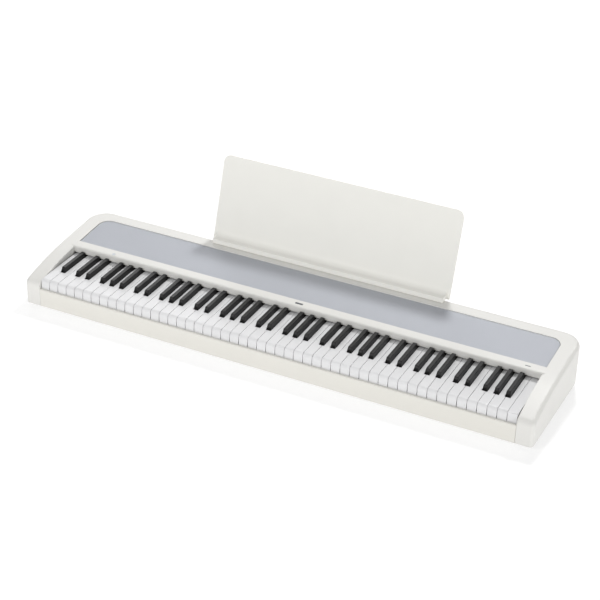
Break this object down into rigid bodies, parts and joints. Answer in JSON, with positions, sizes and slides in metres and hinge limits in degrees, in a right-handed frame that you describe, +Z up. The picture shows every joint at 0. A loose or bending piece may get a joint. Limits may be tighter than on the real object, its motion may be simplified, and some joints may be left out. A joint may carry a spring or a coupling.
{
  "type": "digital piano",
  "caption": "White slab digital piano with a full weighted keyboard, hinged keys with hammers, grey speaker grille, rear sockets and a lift-off music rest.",
  "frame": {"origin": "on the floor under the feet, in the middle of the width and of the depth over the music rest", "axes": "+X along the keyboard to the treble end, +Y to the rear, +Z up"},
  "size_m": [1.312, 0.4, 0.326],
  "materials": {
    "case": "fine satin moulded plastic, warm white",
    "rail": "fine satin moulded plastic, warm white",
    "underside": "fine textured moulded plastic, off-white",
    "rubber": "matt black rubber",
    "brass": "machined brass",
    "screws": "zinc-plated pan-head screws",
    "grille": "perforated sheet steel, blue-grey paint",
    "inner_black": "matt black moulded plastic",
    "speaker_steel": "black-painted pressed steel",
    "paper_cone": "dark paper cone",
    "inner_grey": "grey glass-filled plastic",
    "aluminium": "mill-finish extrusion",
    "shaft_steel": "ground steel rod",
    "felt": "pressed wool felt",
    "circuit_board": "green solder mask",
    "silicone": "grey silicone",
    "button_grey": "satin light grey",
    "control_white": "satin white",
    "rest": "satin white moulded plastic",
    "white_keys": "semi-gloss cool white plastic",
    "black_keys": "satin black plastic",
    "hammers": "filled plastic with a moulded-in weight"
  },
  "bodies": {
    "case": {"top_case": "case", "front_rail": "rail", "bottom_board": "underside", "rubber_feet": "rubber", "stand_inserts": "brass", "case_screws": "screws", "speaker_grille": "grille", "speaker_baffle": "inner_black", "left_speaker_frame": "speaker_steel", "right_speaker_frame": "speaker_steel", "left_speaker_cone": "paper_cone", "right_speaker_cone": "paper_cone", "key_chassis": "inner_grey", "key_pivot_rail": "aluminium", "key_pivot_shaft": "shaft_steel", "key_guides": "inner_black", "key_stop_felt": "felt", "contact_board": "circuit_board", "contact_rubber": "silicone", "main_board": "circuit_board", "amplifier_board": "circuit_board", "jack_board": "circuit_board", "phone_sockets": "inner_black", "power_inlet": "inner_black", "hammer_pivot_shaft": "shaft_steel", "hammer_rest_felt": "felt"},
    "power_button": {"power_button": "button_grey"},
    "volume_knob": {"volume_knob": "control_white"},
    "sound_button": {"sound_button": "control_white"},
    "music_rest": {"music_rest": "rest"},
    "bass_keys": {"bass_white_keys": "white_keys", "bass_black_keys": "black_keys"},
    "bass_hammers": {"bass_hammers": "hammers"},
    "treble_keys": {"treble_white_keys": "white_keys", "treble_black_keys": "black_keys"},
    "treble_hammers": {"treble_hammers": "hammers"},
    "key_c4": {"key_c4": "white_keys"},
    "hammer_c4": {"hammer_c4": "hammers"},
    "key_c_sharp4": {"key_c_sharp4": "black_keys"},
    "hammer_c_sharp4": {"hammer_c_sharp4": "hammers"},
    "key_d4": {"key_d4": "white_keys"},
    "hammer_d4": {"hammer_d4": "hammers"},
    "key_d_sharp4": {"key_d_sharp4": "black_keys"},
    "hammer_d_sharp4": {"hammer_d_sharp4": "hammers"},
    "key_e4": {"key_e4": "white_keys"},
    "hammer_e4": {"hammer_e4": "hammers"},
    "key_f4": {"key_f4": "white_keys"},
    "hammer_f4": {"hammer_f4": "hammers"},
    "key_f_sharp4": {"key_f_sharp4": "black_keys"},
    "hammer_f_sharp4": {"hammer_f_sharp4": "hammers"},
    "key_g4": {"key_g4": "white_keys"},
    "hammer_g4": {"hammer_g4": "hammers"},
    "key_g_sharp4": {"key_g_sharp4": "black_keys"},
    "hammer_g_sharp4": {"hammer_g_sharp4": "hammers"},
    "key_a4": {"key_a4": "white_keys"},
    "hammer_a4": {"hammer_a4": "hammers"},
    "key_a_sharp4": {"key_a_sharp4": "black_keys"},
    "hammer_a_sharp4": {"hammer_a_sharp4": "hammers"},
    "key_b4": {"key_b4": "white_keys"},
    "hammer_b4": {"hammer_b4": "hammers"}
  },
  "joints": [
    {"name": "c4_press", "type": "hinge", "parent": "case", "child": "key_c4", "pos_m": [0, 0.013, 0.071], "axis": [1, 0, 0], "range_deg": [0, 2.8], "stiffness_Nm_per_rad": 0.5, "springref_deg": -17.19},
    {"name": "c4_hammer", "type": "hinge", "parent": "case", "child": "hammer_c4", "pos_m": [0, -0.073, 0.045], "axis": [1, 0, 0], "range_deg": [0, 9.7]},
    {"name": "c_sharp4_press", "type": "hinge", "parent": "case", "child": "key_c_sharp4", "pos_m": [0, 0.013, 0.071], "axis": [1, 0, 0], "range_deg": [0, 2.8], "stiffness_Nm_per_rad": 0.5, "springref_deg": -17.19},
    {"name": "c_sharp4_hammer", "type": "hinge", "parent": "case", "child": "hammer_c_sharp4", "pos_m": [0, -0.073, 0.045], "axis": [1, 0, 0], "range_deg": [0, 9.7]},
    {"name": "d4_press", "type": "hinge", "parent": "case", "child": "key_d4", "pos_m": [0, 0.013, 0.071], "axis": [1, 0, 0], "range_deg": [0, 2.8], "stiffness_Nm_per_rad": 0.5, "springref_deg": -17.19},
    {"name": "d4_hammer", "type": "hinge", "parent": "case", "child": "hammer_d4", "pos_m": [0, -0.073, 0.045], "axis": [1, 0, 0], "range_deg": [0, 9.7]},
    {"name": "d_sharp4_press", "type": "hinge", "parent": "case", "child": "key_d_sharp4", "pos_m": [0, 0.013, 0.071], "axis": [1, 0, 0], "range_deg": [0, 2.8], "stiffness_Nm_per_rad": 0.5, "springref_deg": -17.19},
    {"name": "d_sharp4_hammer", "type": "hinge", "parent": "case", "child": "hammer_d_sharp4", "pos_m": [0, -0.073, 0.045], "axis": [1, 0, 0], "range_deg": [0, 9.7]},
    {"name": "e4_press", "type": "hinge", "parent": "case", "child": "key_e4", "pos_m": [0, 0.013, 0.071], "axis": [1, 0, 0], "range_deg": [0, 2.8], "stiffness_Nm_per_rad": 0.5, "springref_deg": -17.19},
    {"name": "e4_hammer", "type": "hinge", "parent": "case", "child": "hammer_e4", "pos_m": [0, -0.073, 0.045], "axis": [1, 0, 0], "range_deg": [0, 9.7]},
    {"name": "f4_press", "type": "hinge", "parent": "case", "child": "key_f4", "pos_m": [0, 0.013, 0.071], "axis": [1, 0, 0], "range_deg": [0, 2.8], "stiffness_Nm_per_rad": 0.5, "springref_deg": -17.19},
    {"name": "f4_hammer", "type": "hinge", "parent": "case", "child": "hammer_f4", "pos_m": [0, -0.073, 0.045], "axis": [1, 0, 0], "range_deg": [0, 9.7]},
    {"name": "f_sharp4_press", "type": "hinge", "parent": "case", "child": "key_f_sharp4", "pos_m": [0, 0.013, 0.071], "axis": [1, 0, 0], "range_deg": [0, 2.8], "stiffness_Nm_per_rad": 0.5, "springref_deg": -17.19},
    {"name": "f_sharp4_hammer", "type": "hinge", "parent": "case", "child": "hammer_f_sharp4", "pos_m": [0, -0.073, 0.045], "axis": [1, 0, 0], "range_deg": [0, 9.7]},
    {"name": "g4_press", "type": "hinge", "parent": "case", "child": "key_g4", "pos_m": [0, 0.013, 0.071], "axis": [1, 0, 0], "range_deg": [0, 2.8], "stiffness_Nm_per_rad": 0.5, "springref_deg": -17.19},
    {"name": "g4_hammer", "type": "hinge", "parent": "case", "child": "hammer_g4", "pos_m": [0, -0.073, 0.045], "axis": [1, 0, 0], "range_deg": [0, 9.7]},
    {"name": "g_sharp4_press", "type": "hinge", "parent": "case", "child": "key_g_sharp4", "pos_m": [0, 0.013, 0.071], "axis": [1, 0, 0], "range_deg": [0, 2.8], "stiffness_Nm_per_rad": 0.5, "springref_deg": -17.19},
    {"name": "g_sharp4_hammer", "type": "hinge", "parent": "case", "child": "hammer_g_sharp4", "pos_m": [0, -0.073, 0.045], "axis": [1, 0, 0], "range_deg": [0, 9.7]},
    {"name": "a4_press", "type": "hinge", "parent": "case", "child": "key_a4", "pos_m": [0, 0.013, 0.071], "axis": [1, 0, 0], "range_deg": [0, 2.8], "stiffness_Nm_per_rad": 0.5, "springref_deg": -17.19},
    {"name": "a4_hammer", "type": "hinge", "parent": "case", "child": "hammer_a4", "pos_m": [0, -0.073, 0.045], "axis": [1, 0, 0], "range_deg": [0, 9.7]},
    {"name": "a_sharp4_press", "type": "hinge", "parent": "case", "child": "key_a_sharp4", "pos_m": [0, 0.013, 0.071], "axis": [1, 0, 0], "range_deg": [0, 2.8], "stiffness_Nm_per_rad": 0.5, "springref_deg": -17.19},
    {"name": "a_sharp4_hammer", "type": "hinge", "parent": "case", "child": "hammer_a_sharp4", "pos_m": [0, -0.073, 0.045], "axis": [1, 0, 0], "range_deg": [0, 9.7]},
    {"name": "b4_press", "type": "hinge", "parent": "case", "child": "key_b4", "pos_m": [0, 0.013, 0.071], "axis": [1, 0, 0], "range_deg": [0, 2.8], "stiffness_Nm_per_rad": 0.5, "springref_deg": -17.19},
    {"name": "b4_hammer", "type": "hinge", "parent": "case", "child": "hammer_b4", "pos_m": [0, -0.073, 0.045], "axis": [1, 0, 0], "range_deg": [0, 9.7]},
    {"name": "bass_press", "type": "hinge", "parent": "case", "child": "bass_keys", "pos_m": [0, 0.013, 0.071], "axis": [1, 0, 0], "range_deg": [0, 2.8], "stiffness_Nm_per_rad": 14, "springref_deg": -17.19},
    {"name": "bass_hammer", "type": "hinge", "parent": "case", "child": "bass_hammers", "pos_m": [0, -0.073, 0.045], "axis": [1, 0, 0], "range_deg": [0, 9.7]},
    {"name": "treble_press", "type": "hinge", "parent": "case", "child": "treble_keys", "pos_m": [0, 0.013, 0.071], "axis": [1, 0, 0], "range_deg": [0, 2.8], "stiffness_Nm_per_rad": 13, "springref_deg": -17.19},
    {"name": "treble_hammer", "type": "hinge", "parent": "case", "child": "treble_hammers", "pos_m": [0, -0.073, 0.045], "axis": [1, 0, 0], "range_deg": [0, 9.7]},
    {"name": "power_button_press", "type": "slide", "parent": "case", "child": "power_button", "axis": [0, 0.0766, -0.9971], "range_m": [0, 0.001], "stiffness_N_per_m": 800, "springref_m": -0.0008},
    {"name": "sound_button_press", "type": "slide", "parent": "case", "child": "sound_button", "axis": [0, -1, 0], "range_m": [0, 0.001], "stiffness_N_per_m": 800, "springref_m": -0.0008},
    {"name": "volume_knob_turn", "type": "hinge", "parent": "case", "child": "volume_knob", "pos_m": [-0.43, 0.14, 0.051], "axis": [0, 1, 0], "range_deg": [-140, 140]},
    {"name": "music_rest_lift", "type": "slide", "parent": "case", "child": "music_rest", "axis": [0, 0, 1], "range_m": [0, 0.04]}
  ],
  "couplings": [
    {"joint": "c4_hammer", "follows": "c4_press", "ratio": 3.4571},
    {"joint": "c_sharp4_hammer", "follows": "c_sharp4_press", "ratio": 3.4571},
    {"joint": "d4_hammer", "follows": "d4_press", "ratio": 3.4571},
    {"joint": "d_sharp4_hammer", "follows": "d_sharp4_press", "ratio": 3.4571},
    {"joint": "e4_hammer", "follows": "e4_press", "ratio": 3.4571},
    {"joint": "f4_hammer", "follows": "f4_press", "ratio": 3.4571},
    {"joint": "f_sharp4_hammer", "follows": "f_sharp4_press", "ratio": 3.4571},
    {"joint": "g4_hammer", "follows": "g4_press", "ratio": 3.4571},
    {"joint": "g_sharp4_hammer", "follows": "g_sharp4_press", "ratio": 3.4571},
    {"joint": "a4_hammer", "follows": "a4_press", "ratio": 3.4571},
    {"joint": "a_sharp4_hammer", "follows": "a_sharp4_press", "ratio": 3.4571},
    {"joint": "b4_hammer", "follows": "b4_press", "ratio": 3.4571},
    {"joint": "bass_hammer", "follows": "bass_press", "ratio": 3.4571},
    {"joint": "treble_hammer", "follows": "treble_press", "ratio": 3.4571}
  ]
}
